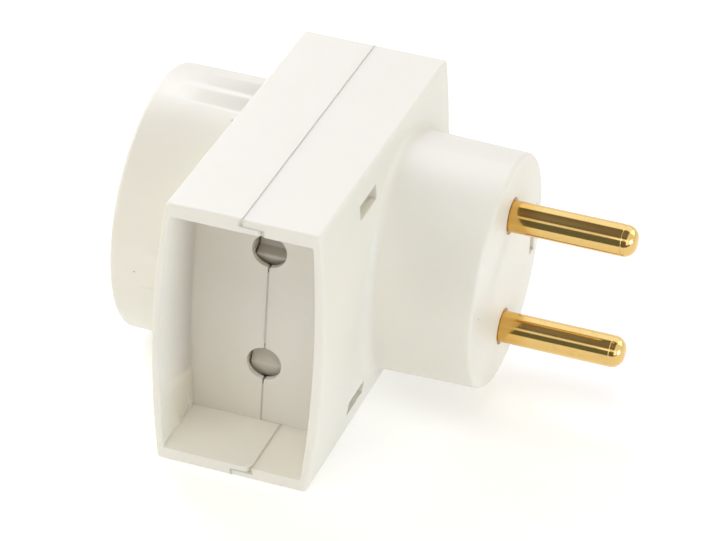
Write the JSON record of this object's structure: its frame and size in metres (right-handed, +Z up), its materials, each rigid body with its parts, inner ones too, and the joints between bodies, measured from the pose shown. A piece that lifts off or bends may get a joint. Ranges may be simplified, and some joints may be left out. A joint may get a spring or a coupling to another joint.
{
  "type": "two-way plug adapter",
  "caption": "Two-pin mains plug adapter whose moulded block feeds a round end outlet and a rectangular side outlet, each with a sprung shutter.",
  "frame": {"origin": "centre of the plug face, midway between the two pins", "axes": "+X along the pins, away from the face; -Y towards the mouth of the side outlet; +Z up from the flat underside of the block"},
  "size_m": [0.074, 0.0576, 0.0426],
  "materials": {
    "ivory_shell": "satin moulded",
    "pin_brass": "turned and polished",
    "contact_brass": "stamped",
    "shutter_grey": "moulded",
    "spring_wire": "drawn wire"
  },
  "bodies": {
    "housing": {"plug_shell": "ivory_shell", "outlet_shell": "ivory_shell", "upper_pin": "pin_brass", "upper_strip": "contact_brass", "upper_side_fork": "contact_brass", "upper_side_rivet": "contact_brass", "upper_end_fork": "contact_brass", "upper_end_rivet": "contact_brass", "lower_pin": "pin_brass", "lower_strip": "contact_brass", "lower_side_fork": "contact_brass", "lower_side_rivet": "contact_brass", "lower_end_fork": "contact_brass", "lower_end_rivet": "contact_brass", "side_spring": "spring_wire", "end_spring": "spring_wire"},
    "side_slide": {"side_shutter": "shutter_grey"},
    "end_slide": {"end_shutter": "shutter_grey"}
  },
  "joints": [
    {"name": "side_shutter_slide", "type": "slide", "parent": "housing", "child": "side_slide", "axis": [0, 0, -1], "range_m": [0, 0.0054], "stiffness_N_per_m": 60, "springref_m": -0.003, "deforming": ["side_spring"]},
    {"name": "end_shutter_slide", "type": "slide", "parent": "housing", "child": "end_slide", "axis": [0, 0, -1], "range_m": [0, 0.0054], "stiffness_N_per_m": 60, "springref_m": -0.003, "deforming": ["end_spring"]}
  ]
}
